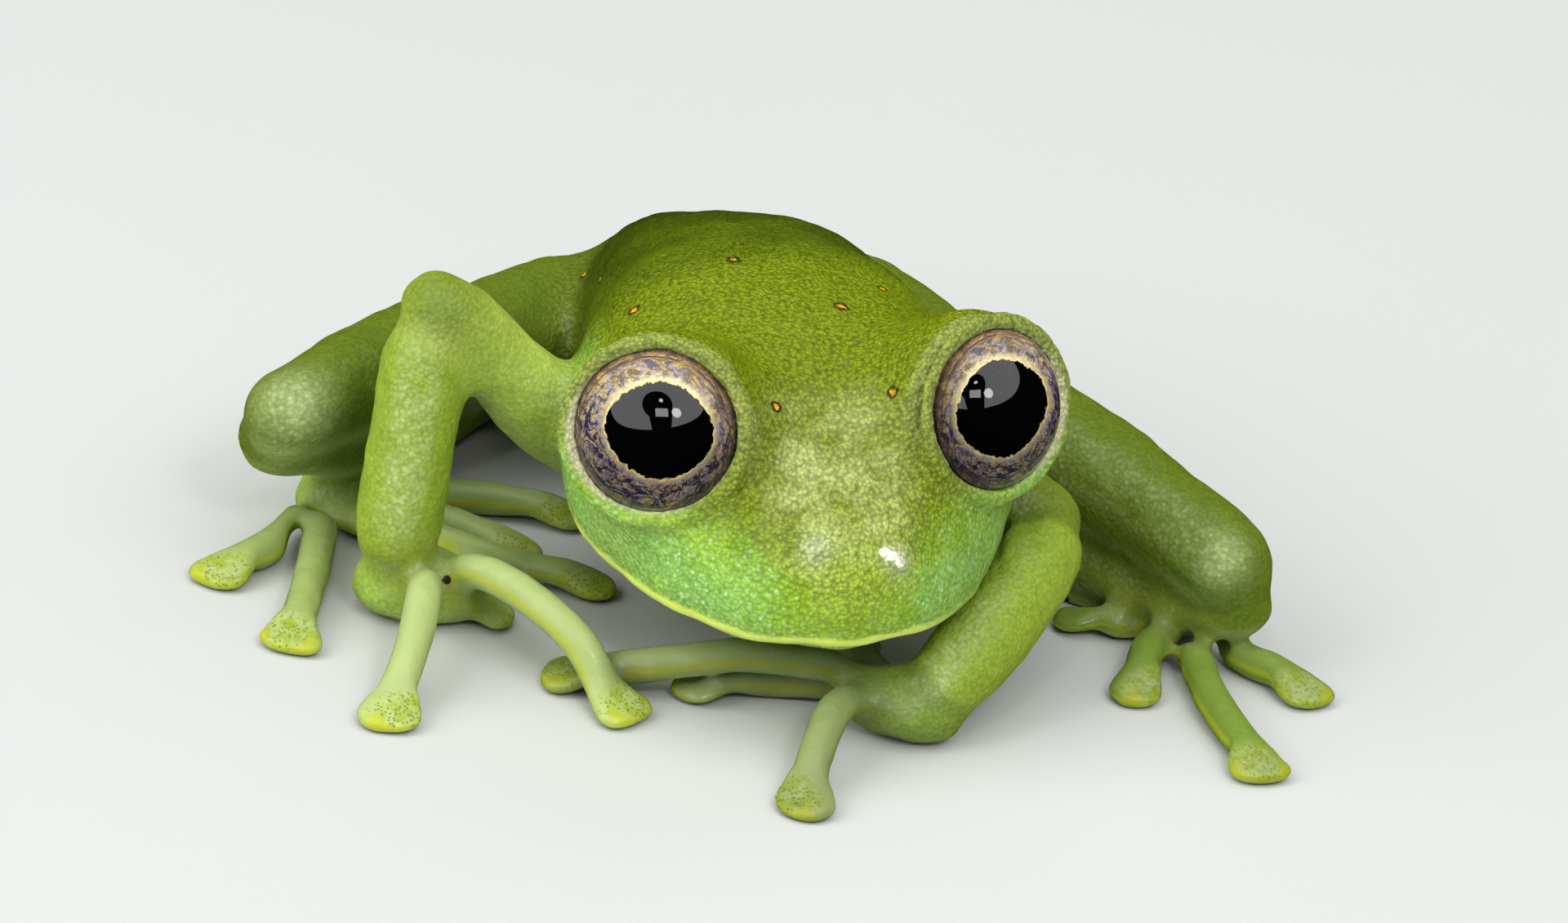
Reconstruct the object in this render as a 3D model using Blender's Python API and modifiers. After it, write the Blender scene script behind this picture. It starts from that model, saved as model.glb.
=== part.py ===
"""A life-size glass frog sitting on its finger and toe pads, as one still model.

Every length is in millimetres while the frog is built, and the meshes are scaled to
metres at the end. The frog faces -Y and its left side is towards +X. Z = 0 is the floor.
"""

import math

import bmesh
import bpy
from mathutils import Matrix, Vector
from mathutils.bvhtree import BVHTree

# Driving sizes
MM = 0.001
GAP = 0.3
EYE_RADIUS = 2.0
EYE_SIDE = 3.54
EYE_CAP = 0.92
EYE_AZIMUTH = math.radians(26)
EYE_ELEVATION = math.radians(24)
DOME_RADIUS = 2.25
SOCKET_RADIUS = 2.08
BROW = (2.75, -0.55, -1.0)
BROW_RADIUS = 2.5
JAW_SQUARENESS = 1.7
LIP_TUBE = 0.15
NOSTRIL_RADIUS = 0.2
NOSTRIL = (0.95, 3.45, -1.12)
MOUTH_CORNER = -3.6
MOUTH_DROP = 0.28
DIGIT_RADIUS = 0.46
PAD_HEIGHT = 0.26
FINGER_PAD = 0.82
TOE_PAD = 0.72
NECK_ROOM = 1.3
# A pad slopes down to its blunt front edge: place along the digit, rise, width, half height
PAD_SHAPE = ((-0.5, 0.22, 0.64, 0.33), (-0.1, 0.08, 0.92, 0.27), (0.25, -0.02, 1.0, 0.25),
             (0.5, -0.06, 0.9, 0.22))
BODY_VOXEL = 0.24
BODY_SMOOTHING = 10
HEAD_TRIANGLES = 2600
TORSO_TRIANGLES = 1400
BODY_SIDES = 36
OUTLINE_TRIANGLES = 2600
LIMB_SIDES = 12
LIMB_RINGS = 10
DIGIT_SIDES = 8
DIGIT_RINGS = 14
SHARP_ANGLE = math.radians(40)

# Base colour and roughness of each kind of piece
LOOKS = {
    "head": ((0.24, 0.58, 0.24), 0.4),
    "torso": ((0.42, 0.66, 0.16), 0.42),
    "eye": ((0.3, 0.24, 0.2), 0.06),
    "upper_arm": ((0.5, 0.66, 0.2), 0.4),
    "forearm": ((0.5, 0.66, 0.22), 0.4),
    "hand": ((0.54, 0.68, 0.3), 0.38),
    "finger": ((0.58, 0.74, 0.4), 0.35),
    "thigh": ((0.46, 0.62, 0.18), 0.4),
    "shank": ((0.48, 0.64, 0.2), 0.4),
    "foot": ((0.52, 0.66, 0.28), 0.38),
    "toe": ((0.6, 0.72, 0.36), 0.35),
}

# The head's own frame: its origin is midway between the centres of the eyes
HEAD_ORIGIN = Vector((-0.27, 0.8, 6.65))
HEAD_YAW = math.radians(19)
HEAD_PITCH = math.radians(8)
HEAD_ROLL = math.radians(4.1)

# The trunk is turned less than the head
TRUNK_YAW = math.radians(15)
NECK = Vector((-1.95, 5.5, 4.0))


def head_frame():
    """X to the frog's left, Y forward along the snout, Z up, in the frog's pose."""
    forward_is_y = Matrix.Rotation(math.pi, 4, "Z") @ Matrix.Scale(-1, 4, (1, 0, 0))
    yaw = Matrix.Rotation(HEAD_YAW, 4, "Z")
    pitch = Matrix.Rotation(HEAD_PITCH, 4, "X")
    roll = Matrix.Rotation(-HEAD_ROLL, 4, "Y")
    return Matrix.Translation(HEAD_ORIGIN) @ yaw @ pitch @ roll @ forward_is_y


HEAD = head_frame()


def new_object(name, bm):
    mesh = bpy.data.meshes.new(name)
    bm.to_mesh(mesh)
    bm.free()
    obj = bpy.data.objects.new(name, mesh)
    bpy.context.scene.collection.objects.link(obj)
    return obj


def eased(keys, count):
    """Catmull-Rom through rows of numbers, sampled evenly in key number."""
    rows = [list(k) for k in keys]
    rows = [rows[0]] + rows + [rows[-1]]
    samples = []
    for i in range(count):
        place = i * (len(keys) - 1) / (count - 1)
        k = min(int(place), len(keys) - 2)
        t = place - k
        a, b, c, d = rows[k : k + 4]
        samples.append([
            0.5 * (2 * q + (r - p) * t + (2 * p - 5 * q + 4 * r - s) * t * t
                   + (3 * q - p - 3 * r + s) * t ** 3)
            for p, q, r, s in zip(a, b, c, d)
        ])
    return samples


def skinned(name, rings):
    """A closed body through rings of points, with a pole at each end."""
    bm = bmesh.new()
    loops = [[bm.verts.new(p) for p in ring] for ring in rings]
    sides = len(rings[0])
    for near, far in zip(loops, loops[1:]):
        for i in range(sides):
            j = (i + 1) % sides
            bm.faces.new((near[i], near[j], far[j], far[i]))
    for loop in (loops[0], loops[-1]):
        middle = sum((v.co for v in loop), Vector()) / sides
        pole = bm.verts.new(middle)
        for i in range(sides):
            bm.faces.new((loop[i], loop[(i + 1) % sides], pole))
    bmesh.ops.recalc_face_normals(bm, faces=bm.faces)
    return new_object(name, bm)


def limb(name, keys, rings, sides, grow=0.0):
    """A round-ended limb. Each key is x, y, z, half width and half height."""
    samples = eased(keys, rings)
    centres = [Vector(s[:3]) for s in samples]
    tangents = []
    for i in range(rings):
        ahead = centres[min(i + 1, rings - 1)]
        behind = centres[max(i - 1, 0)]
        tangents.append((ahead - behind).normalized())
    sections = []
    for centre, tangent, sample in zip(centres, tangents, samples):
        side = tangent.cross(Vector((0, 0, 1))).normalized()
        above = side.cross(tangent).normalized()
        sections.append((centre, side * (sample[3] + grow), above * (sample[4] + grow)))
    rounded = []
    for angle in (80, 55, 28):
        rounded.append(end_ring(sections[0], -tangents[0], math.radians(angle)))
    rounded.extend(sections)
    for angle in (28, 55, 80):
        rounded.append(end_ring(sections[-1], tangents[-1], math.radians(angle)))
    loops = []
    for centre, side, above in rounded:
        turns = [2 * math.pi * i / sides for i in range(sides)]
        loops.append([centre + side * math.cos(t) + above * math.sin(t) for t in turns])
    return skinned(name, loops)


def end_ring(section, outward, angle):
    """A smaller ring past the end of a limb, on a rounded cap."""
    centre, side, above = section
    reach = min(side.length, above.length) * math.sin(angle)
    shrink = math.cos(angle)
    return centre + outward * reach, side * shrink, above * shrink


def boolean(obj, other, operation):
    """Applies one Boolean and removes the other object."""
    modifier = obj.modifiers.new("join", "BOOLEAN")
    modifier.operation = operation
    modifier.solver = "EXACT"
    modifier.use_self = True
    modifier.object = other
    bake(obj)
    bpy.data.objects.remove(other)
    return obj


def bake(obj):
    """Replaces the object's mesh by the one that its modifiers make."""
    graph = bpy.context.evaluated_depsgraph_get()
    mesh = bpy.data.meshes.new_from_object(obj.evaluated_get(graph))
    obj.modifiers.clear()
    obj.data = mesh


def cut_off(obj, point, direction):
    """Removes what lies past a plane, on the side that direction points to, and caps it."""
    bm = bmesh.new()
    bm.from_mesh(obj.data)
    bmesh.ops.bisect_plane(
        bm,
        geom=bm.verts[:] + bm.edges[:] + bm.faces[:],
        dist=1e-5,
        plane_co=point,
        plane_no=direction,
        clear_outer=True,
    )
    open_edges = [e for e in bm.edges if e.is_boundary]
    if open_edges:
        bmesh.ops.holes_fill(bm, edges=open_edges)
    bmesh.ops.triangulate(bm, faces=[f for f in bm.faces if len(f.verts) > 4])
    bmesh.ops.recalc_face_normals(bm, faces=bm.faces)
    bm.to_mesh(obj.data)
    bm.free()
    return obj


def on_floor(obj):
    return cut_off(obj, Vector((0, 0, 0)), Vector((0, 0, -1)))


def grown(obj, distance):
    """A copy whose surface stands off by that distance."""
    copy = obj.copy()
    copy.data = obj.data.copy()
    bpy.context.scene.collection.objects.link(copy)
    bm = bmesh.new()
    bm.from_mesh(copy.data)
    bm.normal_update()
    for vertex in bm.verts:
        vertex.co += vertex.normal * distance
    bm.to_mesh(copy.data)
    bm.free()
    return copy


def ball(name, centre, radii, segments=32, rings=20):
    bm = bmesh.new()
    bmesh.ops.create_uvsphere(bm, u_segments=segments, v_segments=rings, radius=1.0)
    bm.transform(Matrix.Translation(centre) @ Matrix.Diagonal((*radii, 1.0)))
    return new_object(name, bm)


def body_ring(centre, side, above, half_width, top, bottom, widest, square, under):
    """One section of the head or trunk: an oval that is widest at one height.

    A squareness over 2 gives it shoulders above the widest height, and one under 2
    draws it in below.
    """
    points = []
    for i in range(BODY_SIDES):
        turn = 2 * math.pi * i / BODY_SIDES
        c, s = math.cos(turn), math.sin(turn)
        power = 2 / (square if s >= 0 else under)
        x = half_width * math.copysign(abs(c) ** power, c)
        reach = (top - widest) if s >= 0 else (widest - bottom)
        z = widest + math.copysign(abs(s) ** power, s) * reach
        points.append(centre + side * x + above * z)
    return points


# Head sections: place along the snout, half width, top, bottom, lip height, squareness
HEAD_KEYS = (
    (4.42, 0.6, -2.3, -3.4, -3.1, 2.0),
    (4.15, 1.4, -1.6, -3.5, -3.12, 2.2),
    (3.5, 2.35, -1.1, -3.75, -3.15, 2.3),
    (2.6, 3.2, -0.65, -4.1, -3.2, 2.4),
    (1.5, 3.95, -0.15, -4.4, -3.25, 2.4),
    (0.2, 4.5, 0.45, -4.6, -3.3, 2.4),
    (-1.3, 4.8, 0.95, -4.7, -3.35, 2.4),
    (-2.9, 4.85, 1.1, -4.8, -3.2, 2.4),
    (-4.4, 4.55, 1.05, -4.9, -2.8, 2.4),
    (-5.4, 4.2, 0.95, -4.9, -2.4, 2.4),
)
# Trunk sections down the back: x, y, half width, top, bottom, squareness
TRUNK_KEYS = (
    (-2.05, 7.6, 3.75, 7.85, 1.5, 2.5),
    (-2.25, 10.0, 3.7, 7.2, 0.6, 2.5),
    (-2.7, 12.5, 3.75, 6.2, -0.1, 2.5),
    (-3.2, 15.0, 3.4, 5.05, -0.35, 2.4),
    (-3.65, 17.2, 2.75, 4.0, -0.2, 2.3),
    (-4.0, 18.9, 2.05, 3.3, 0.4, 2.2),
    (-4.15, 20.0, 1.1, 2.7, 1.0, 2.1),
)

# Limbs from the body outwards: x, y, z, half width, half height
UPPER_ARM_RIGHT = (
    (-4.0, 5.4, 2.9, 1.1, 1.1),
    (-6.1, 4.1, 4.1, 1.05, 1.05),
    (-8.05, 3.25, 6.25, 0.95, 0.95),
    (-9.0, 2.8, 7.12, 0.85, 0.85),
)
FOREARM_RIGHT = (
    (-9.12, 2.7, 7.12, 0.86, 0.86),
    (-9.12, 2.3, 5.7, 1.03, 1.03),
    (-9.15, 1.8, 4.1, 1.06, 1.06),
    (-9.2, 1.2, 2.2, 1.02, 1.02),
)
UPPER_ARM_LEFT = (
    (1.5, 7.2, 3.2, 1.1, 1.1),
    (3.5, 5.6, 3.5, 1.02, 1.02),
    (5.15, 3.9, 3.4, 0.95, 0.95),
)
FOREARM_LEFT = (
    (5.3, 3.5, 3.35, 0.98, 0.98),
    (4.95, 2.2, 2.8, 1.04, 1.04),
    (4.2, 0.7, 2.0, 1.04, 1.04),
    (3.4, -0.6, 1.25, 0.95, 0.95),
)
THIGH_RIGHT = (
    (-4.9, 16.4, 2.4, 1.4, 1.4),
    (-7.5, 11.4, 2.85, 1.5, 1.5),
    (-10.0, 7.0, 3.55, 1.35, 1.35),
    (-12.05, 3.45, 3.65, 1.08, 1.08),
)
SHANK_RIGHT = (
    (-12.3, 3.8, 2.95, 1.03, 1.03),
    (-10.4, 7.0, 1.85, 1.0, 1.0),
    (-8.3, 11.4, 1.3, 0.95, 0.95),
    (-6.5, 16.4, 1.25, 0.75, 0.75),
)
FOOT_RIGHT = (
    (-7.0, 17.2, 0.65, 0.55, 0.6),
    (-9.4, 12.4, 0.6, 0.55, 0.6),
    (-10.95, 8.4, 0.55, 0.6, 0.57),
    (-11.2, 5.7, 0.52, 0.8, 0.54),
)
THIGH_LEFT = (
    (-1.9, 17.0, 2.6, 1.35, 1.35),
    (0.5, 13.9, 3.4, 1.5, 1.5),
    (3.1, 11.0, 3.1, 1.48, 1.48),
    (6.3, 7.7, 3.05, 1.42, 1.42),
    (9.45, 4.9, 2.5, 1.15, 1.15),
)
SHANK_LEFT = (
    (9.75, 4.8, 1.8, 1.05, 1.05),
    (6.5, 7.3, 1.2, 1.0, 1.0),
    (3.4, 11.3, 1.25, 0.95, 0.95),
    (0.2, 16.6, 1.3, 0.75, 0.75),
)
FOOT_LEFT = (
    (0.6, 17.4, 0.65, 0.55, 0.6),
    (4.6, 12.9, 0.6, 0.55, 0.6),
    (7.6, 9.0, 0.55, 0.6, 0.57),
    (8.9, 6.0, 0.52, 0.8, 0.54),
)
# Palms from side to side, in the same numbers
PALM_RIGHT = (
    (-9.35, 1.55, 0.75, 1.05, 0.85),
    (-8.75, 1.6, 0.8, 1.2, 0.95),
    (-7.95, 1.65, 0.75, 1.05, 0.85),
)
PALM_LEFT = (
    (1.9, -0.75, 0.72, 0.95, 0.8),
    (2.75, -0.85, 0.8, 1.2, 0.92),
    (3.4, -0.85, 0.75, 1.0, 0.85),
)

# Digits from the palm or foot to the middle of the pad: x, y, z
FINGERS_RIGHT = (
    ((-8.8, 2.5, 0.6), (-8.4, 3.3, PAD_HEIGHT)),
    ((-8.2, 2.0, 0.7), (-7.7, 1.95, 0.5), (-7.1, 1.8, PAD_HEIGHT)),
    ((-7.9, 1.1, 1.5), (-7.2, 0.8, 1.72), (-6.26, 0.0, 1.75), (-5.22, -0.93, 1.55),
     (-4.55, -1.35, 1.1), (-3.75, -2.0, PAD_HEIGHT)),
    ((-8.5, 0.9, 1.6), (-8.35, -0.4, 1.45), (-8.39, -1.9, 1.05), (-8.5, -2.8, 0.7),
     (-8.66, -3.8, PAD_HEIGHT)),
)
FINGERS_LEFT = (
    ((2.2, 0.1, 0.6), (1.6, 1.3, 0.5), (1.3, 2.4, PAD_HEIGHT)),
    ((1.7, 0.0, 0.6), (0.4, 0.1, 0.5), (-0.7, 0.0, 0.4), (-1.9, -0.45, PAD_HEIGHT)),
    ((1.6, -0.5, 1.2), (0.31, -0.57, 1.3), (-1.11, -0.75, 1.35), (-2.2, -0.82, 1.05),
     (-3.27, -0.8, 0.75), (-4.15, -0.8, 0.5), (-4.86, -0.79, PAD_HEIGHT)),
    ((1.6, -1.1, 1.0), (1.05, -2.1, 1.05), (0.8, -3.5, 0.85), (0.65, -4.53, 0.5),
     (0.68, -5.13, 0.22)),
)
TOES_RIGHT = (
    ((-10.8, 6.4, 0.5), (-9.0, 7.0, 0.45), (-7.4, 7.3, 0.42), (-5.85, 7.35, PAD_HEIGHT)),
    ((-10.8, 5.8, 0.5), (-9.3, 5.9, 0.45), (-8.0, 5.6, 0.42), (-6.75, 5.15, PAD_HEIGHT)),
    ((-10.9, 5.2, 0.5), (-8.8, 4.7, 0.5), (-6.9, 4.05, 0.42), (-4.95, 3.9, PAD_HEIGHT)),
    ((-11.1, 5.2, 0.5), (-11.05, 3.0, 0.5), (-11.05, 1.2, 0.45), (-11.08, 0.2, 0.4),
     (-11.13, -0.75, PAD_HEIGHT)),
    ((-11.5, 5.3, 0.5), (-11.85, 3.7, 0.5), (-12.4, 2.7, 0.42), (-13.0, 1.95, PAD_HEIGHT)),
)
TOES_LEFT = (
    ((8.4, 6.3, 0.5), (7.0, 6.7, 0.42), (6.0, 7.1, 0.4), (5.3, 7.3, PAD_HEIGHT)),
    ((8.4, 5.8, 0.5), (7.3, 5.5, 0.45), (6.4, 5.6, PAD_HEIGHT)),
    ((8.6, 5.5, 0.5), (8.0, 4.3, 0.48), (7.85, 3.3, 0.42), (7.75, 2.55, PAD_HEIGHT)),
    ((8.9, 5.5, 0.55), (9.2, 3.0, 0.5), (9.7, 1.4, 0.45), (10.1, 0.4, 0.4),
     (10.5, -0.45, PAD_HEIGHT)),
    ((9.2, 5.7, 0.5), (10.1, 4.6, 0.45), (10.8, 4.1, 0.42), (11.5, 3.6, PAD_HEIGHT)),
)

SIDES = {
    "right": (UPPER_ARM_RIGHT, FOREARM_RIGHT, PALM_RIGHT, FINGERS_RIGHT,
              THIGH_RIGHT, SHANK_RIGHT, FOOT_RIGHT, TOES_RIGHT),
    "left": (UPPER_ARM_LEFT, FOREARM_LEFT, PALM_LEFT, FINGERS_LEFT,
             THIGH_LEFT, SHANK_LEFT, FOOT_LEFT, TOES_LEFT),
}


def body_core():
    """Head and trunk as one loft."""
    side = (HEAD.to_3x3() @ Vector((1, 0, 0))).normalized()
    above = (HEAD.to_3x3() @ Vector((0, 0, 1))).normalized()
    rings = []
    for place, half_width, top, bottom, widest, square in eased(HEAD_KEYS, 26):
        centre = HEAD @ Vector((0, place, 0))
        shape = (half_width, top, bottom, widest, square, JAW_SQUARENESS)
        rings.append(body_ring(centre, side, above, *shape))
    side = Vector((math.cos(TRUNK_YAW), math.sin(TRUNK_YAW), 0))
    above = Vector((0, 0, 1))
    for x, y, half_width, top, bottom, square in eased(TRUNK_KEYS, 20):
        centre = Vector((x, y, 0))
        widest = bottom + (top - bottom) * 0.45
        shape = (half_width, top, bottom, widest, square, square)
        rings.append(body_ring(centre, side, above, *shape))
    return skinned("body", rings)


def eye_axis(side):
    """The way an eye looks, in the frog's pose. side is 1 for the frog's left, -1 for its right."""
    level = math.cos(EYE_ELEVATION)
    local = Vector((
        side * math.sin(EYE_AZIMUTH) * level,
        math.cos(EYE_AZIMUTH) * level,
        math.sin(EYE_ELEVATION),
    ))
    return (HEAD.to_3x3() @ local).normalized()


def eye_centre(side):
    return HEAD @ Vector((side * EYE_SIDE, 0, 0))


def soft_body():
    """The core with the eye domes, made one smooth skin and cut flat under each eye."""
    body = body_core()
    for side in (1, -1):
        brow = HEAD @ Vector((side * BROW[0], BROW[1], BROW[2]))
        boolean(body, ball("brow", brow, (BROW_RADIUS,) * 3), "UNION")
        boolean(body, ball("dome", eye_centre(side), (DOME_RADIUS,) * 3), "UNION")
    remesh = body.modifiers.new("one skin", "REMESH")
    remesh.mode = "VOXEL"
    remesh.voxel_size = BODY_VOXEL
    smooth = body.modifiers.new("soften", "SMOOTH")
    smooth.factor = 0.5
    smooth.iterations = BODY_SMOOTHING
    bake(body)
    return body


def thinned(obj, triangles):
    """The same shape in about that many triangles."""
    modifier = obj.modifiers.new("thin", "DECIMATE")
    modifier.ratio = triangles / sum(len(p.vertices) - 2 for p in obj.data.polygons)
    modifier.use_collapse_triangulate = True
    bake(obj)
    return obj


def copy_of(obj, name):
    copy = obj.copy()
    copy.name = name
    copy.data = obj.data.copy()
    bpy.context.scene.collection.objects.link(copy)
    return copy


def largest_piece(obj):
    """Keeps the largest closed piece of a mesh."""
    bm = bmesh.new()
    bm.from_mesh(obj.data)
    left = set(bm.verts)
    islands = []
    while left:
        island = set()
        front = [left.pop()]
        while front:
            vertex = front.pop()
            island.add(vertex)
            for edge in vertex.link_edges:
                other = edge.other_vert(vertex)
                if other in left:
                    left.remove(other)
                    front.append(other)
        islands.append(island)
    islands.sort(key=len)
    for island in islands[:-1]:
        bmesh.ops.delete(bm, geom=list(island), context="VERTS")
    bm.to_mesh(obj.data)
    bm.free()
    return obj


def digit_keys(path, pad):
    """The sections of a finger or toe that widens to a flat pad at the end of its path."""
    points = [Vector(p) for p in path]
    last = points[-1]
    before = points[-2]
    along = Vector((last.x - before.x, last.y - before.y, 0)).normalized()
    keys = [(*p, DIGIT_RADIUS, DIGIT_RADIUS) for p in points[:-1]]
    if (last - before).xy.length > NECK_ROOM:
        neck = last - along * 0.95 + Vector((0, 0, min(before.z - last.z, 0.2)))
        keys.append((*neck, DIGIT_RADIUS * 0.95, DIGIT_RADIUS * 0.8))
    for reach, rise, width, height in PAD_SHAPE:
        place = last + along * reach + Vector((0, 0, rise))
        keys.append((*place, pad * width, height))
    return keys


def solid(name, keys, body, others=(), detail=None):
    """A limb piece that stands off from the body and from the pieces it meets."""
    rings, sides = detail or (LIMB_RINGS, LIMB_SIDES)
    piece = on_floor(limb(name, keys, rings, sides))
    boolean(piece, grown(body, GAP), "DIFFERENCE")
    for other in others:
        boolean(piece, limb("cutter", other, rings, sides, GAP), "DIFFERENCE")
    return largest_piece(piece)


def socket_cutter(side):
    """A cylinder that leaves a flat seat on the head for one eye."""
    axis = eye_axis(side)
    bm = bmesh.new()
    bmesh.ops.create_cone(
        bm, cap_ends=True, segments=40, radius1=SOCKET_RADIUS, radius2=SOCKET_RADIUS, depth=4.0
    )
    seat = eye_centre(side) + axis * (EYE_CAP - GAP + 2.0)
    bm.transform(Matrix.Translation(seat) @ axis.to_track_quat("Z", "Y").to_matrix().to_4x4())
    return new_object("socket", bm)


def lip_cutter(head):
    """A thin tube that follows the edge of the mouth on the head's surface."""
    tree = BVHTree.FromObject(head, bpy.context.evaluated_depsgraph_get())
    places = [k for k in eased(HEAD_KEYS, 26) if k[0] > MOUTH_CORNER]
    half = [(k[1], k[0], k[4] - MOUTH_DROP) for k in places]
    curve = [(-x, y, z) for x, y, z in reversed(half)] + half
    path = []
    for point in curve:
        near = tree.find_nearest(HEAD @ Vector(point))[0]
        path.append((*near, LIP_TUBE, LIP_TUBE))
    return limb("lips", path, rings=44, sides=6)


def nostril_cutter(side):
    centre = HEAD @ Vector((side * NOSTRIL[0], NOSTRIL[1], NOSTRIL[2]))
    return ball("nostril", centre, (NOSTRIL_RADIUS,) * 3, 8, 6)


def head_and_torso():
    """The two halves of the body, and a plain copy of the whole that limbs are fitted to."""
    body = soft_body()
    back = Vector((-math.sin(HEAD_YAW), math.cos(HEAD_YAW), 0))
    head = copy_of(body, "head")
    cut_off(head, NECK - back * GAP / 2, back)
    torso = copy_of(body, "torso")
    cut_off(torso, NECK + back * GAP / 2, -back)
    thinned(head, HEAD_TRIANGLES)
    thinned(torso, TORSO_TRIANGLES)
    thinned(body, OUTLINE_TRIANGLES)
    on_floor(torso)
    lips = lip_cutter(head)
    for side, name in ((1, "left"), (-1, "right")):
        boolean(head, socket_cutter(side), "DIFFERENCE")
        boolean(head, nostril_cutter(side), "DIFFERENCE")
        eye = ball("eye_" + name, eye_centre(side), (EYE_RADIUS,) * 3, 28, 18)
        cut_off(eye, eye_centre(side) + eye_axis(side) * EYE_CAP, -eye_axis(side))
    boolean(head, lips, "DIFFERENCE")
    return body


def limbs(side, body, crossing):
    """Arm and leg of one side. The fingers also stay clear of the crossing ones."""
    upper, fore, hand, fingers, thigh, shank, foot, toes = SIDES[side]
    small = (DIGIT_RINGS, DIGIT_SIDES)
    solid("upper_arm_" + side, upper, body)
    solid("forearm_" + side, fore, body, (upper,))
    solid("hand_" + side, hand, body, (fore,))
    solid("thigh_" + side, thigh, body)
    solid("shank_" + side, shank, body, (thigh,))
    solid("foot_" + side, foot, body, (thigh, shank))
    met = [hand, fore, *crossing]
    for number, path in enumerate(fingers, 1):
        keys = digit_keys(path, FINGER_PAD)
        solid("finger_%s_%d" % (side, number), keys, body, met, small)
        met.append(keys)
    met = [foot, shank]
    for number, path in enumerate(toes, 1):
        keys = digit_keys(path, TOE_PAD)
        solid("toe_%s_%d" % (side, number), keys, body, met, small)
        met.append(keys)


def settle():
    """Puts the origin at the middle of the bottom of the frog and scales it to metres."""
    objects = list(bpy.context.scene.objects)
    points = [v.co for obj in objects for v in obj.data.vertices]
    low = Vector([min(p[i] for p in points) for i in range(3)])
    high = Vector([max(p[i] for p in points) for i in range(3)])
    middle = (low + high) / 2
    shift = Matrix.Translation((-middle.x, -middle.y, -low.z))
    for obj in objects:
        obj.data.transform(Matrix.Scale(MM, 4) @ shift)


def coloured(obj):
    """Gives a piece its own material, smooth but for crisp edges round its flats."""
    kind = obj.name.split("_left")[0].split("_right")[0]
    colour, roughness = LOOKS[kind]
    material = bpy.data.materials.new(obj.name)
    material.use_nodes = True
    surface = material.node_tree.nodes["Principled BSDF"]
    surface.inputs["Base Color"].default_value = (*colour, 1)
    surface.inputs["Roughness"].default_value = roughness
    surface.inputs["Metallic"].default_value = 0
    obj.data.materials.clear()
    obj.data.materials.append(material)
    obj.data.shade_smooth()
    obj.data.set_sharp_from_angle(angle=SHARP_ANGLE)


def gather():
    """Puts the finished pieces in a collection of their own."""
    frog = bpy.data.collections.new("glass_frog")
    workshop = bpy.context.scene.collection
    workshop.children.link(frog)
    for obj in list(workshop.objects):
        workshop.objects.unlink(obj)
        frog.objects.link(obj)
        coloured(obj)


def main():
    for obj in list(bpy.data.objects):
        bpy.data.objects.remove(obj)
    body = head_and_torso()
    right_fingers = [digit_keys(path, FINGER_PAD) for path in FINGERS_RIGHT[2:]]
    limbs("right", body, [])
    limbs("left", body, right_fingers)
    bpy.data.objects.remove(body)
    settle()
    gather()


main()
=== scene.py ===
"""The looks of the glass frog: one skin over its flesh, two clear eyes, floor, light, camera.

The skin is shaped in millimetres and scaled to metres once it is done. The frog faces -Y,
its left side is towards +X, and the floor is at Z = 0.
"""

import math

import bmesh
import bpy
import numpy as np
from mathutils import Matrix, Vector
from mathutils.bvhtree import BVHTree


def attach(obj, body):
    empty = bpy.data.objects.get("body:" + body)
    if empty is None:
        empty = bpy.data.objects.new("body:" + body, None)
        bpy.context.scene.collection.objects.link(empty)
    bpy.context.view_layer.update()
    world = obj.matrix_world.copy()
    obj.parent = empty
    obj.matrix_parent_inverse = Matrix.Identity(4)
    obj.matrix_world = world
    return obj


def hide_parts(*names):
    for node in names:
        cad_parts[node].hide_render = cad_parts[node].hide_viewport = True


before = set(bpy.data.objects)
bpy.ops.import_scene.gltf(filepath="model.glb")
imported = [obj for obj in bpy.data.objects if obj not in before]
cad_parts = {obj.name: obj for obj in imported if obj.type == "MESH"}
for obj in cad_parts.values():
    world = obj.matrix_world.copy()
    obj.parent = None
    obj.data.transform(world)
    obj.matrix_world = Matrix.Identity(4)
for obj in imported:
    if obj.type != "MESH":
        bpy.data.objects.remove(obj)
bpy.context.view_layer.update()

# Lengths in millimetres
MM = 0.001
SEAM_REACH = 0.37
SEAM_SINK = 0.14
BASE_VOXEL = 0.12
BODY_SMOOTHING = 44
LIMB_SMOOTHING = 26
DIGIT_SMOOTHING = 8
SKIN_VOXEL = 0.085
SKIN_SMOOTHING = 5

# Eyes
EYE_TILT = math.radians(26.35)
EYE_RADIUS = 2.0
APERTURE = 1.74
IRIS_PLACE = 0.93
IRIS_BULGE = 0.1
IRIS_THICKNESS = 0.2
CORNEA_BACK = 0.8
LID_HALF_WIDTH = 0.22
LID_HALF_HEIGHT = 0.13
LID_RING = 1.98
LID_PLACE = 0.86
PUPIL_HALF = (1.085, 0.96)
PUPIL_OFFSET = (0.13, 0.09)
IRIS_STRETCH = 0.9

# The lean of the lens in each pupil: at the eye's middle, then what is added for a mm across,
# for a mm up and for the square of the mm across
LENS_LEAN = {
    "left": ((-0.277, 0.146), (0.576, 0.03), (0.12, 0.525), (0.11, -0.04)),
    "right": ((0.042, 0.08), (0.59, 0.0), (0.0, 0.56), (-0.03, -0.03)),
}

# Mouth and nostrils, in the head's frame: x to its left, y along the snout, z up
LIP_HEIGHT = -3.3
LIP_RISE = 0.05
MOUTH_DROP = 0.28
MOUTH_CORNER = -3.6
MOUTH_DEPTH = 0.11
MOUTH_WIDTH = 0.08
LIP_SWELL = 0.05
JAW_FULLNESS = 0.2
PAD_FLARE = 0.28

# The way the pale stretch along the limbs faces, on the left side and on the right: pale grains with a
# painted highlight where the skin faces this way
HIGHLIGHT_WAYS = ((-0.35, -0.78, 0.52), (0.0, -0.82, 0.57))

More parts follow.
